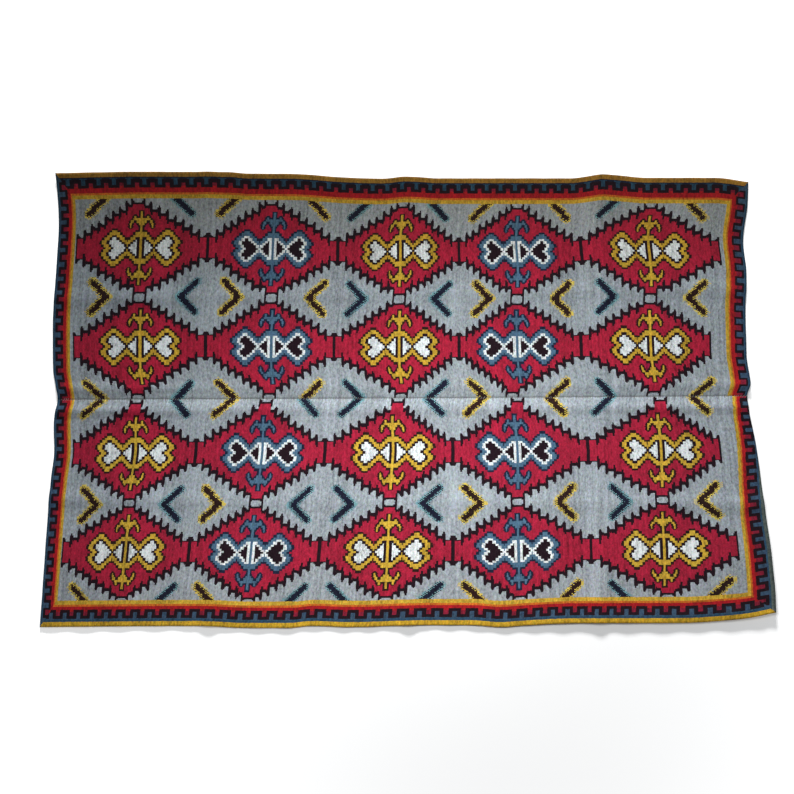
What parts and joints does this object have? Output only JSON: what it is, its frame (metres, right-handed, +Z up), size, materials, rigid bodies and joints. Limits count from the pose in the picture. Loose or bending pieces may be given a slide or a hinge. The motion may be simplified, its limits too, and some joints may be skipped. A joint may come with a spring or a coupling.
{
  "type": "kilim rug",
  "caption": "Flat-woven wool kilim rug made of two loom-width panels sewn along the middle, with stepped diamond medallions and a toothed border, lying unfolded on a floor.",
  "frame": {"origin": "on the floor, under the middle of the rug's bounding box", "axes": "+X along the rug's length, +Y across it from the lower panel to the upper panel, +Z up out of the floor"},
  "size_m": [2.658, 1.68, 0.0127],
  "materials": {
    "woven_wool": "matt weft-faced wool tapestry weave in crimson, grey, black, gold, blue, teal and white"
  },
  "bodies": {
    "root": {"upper_panel": "woven_wool", "lower_panel": "woven_wool"}
  },
  "joints": []
}
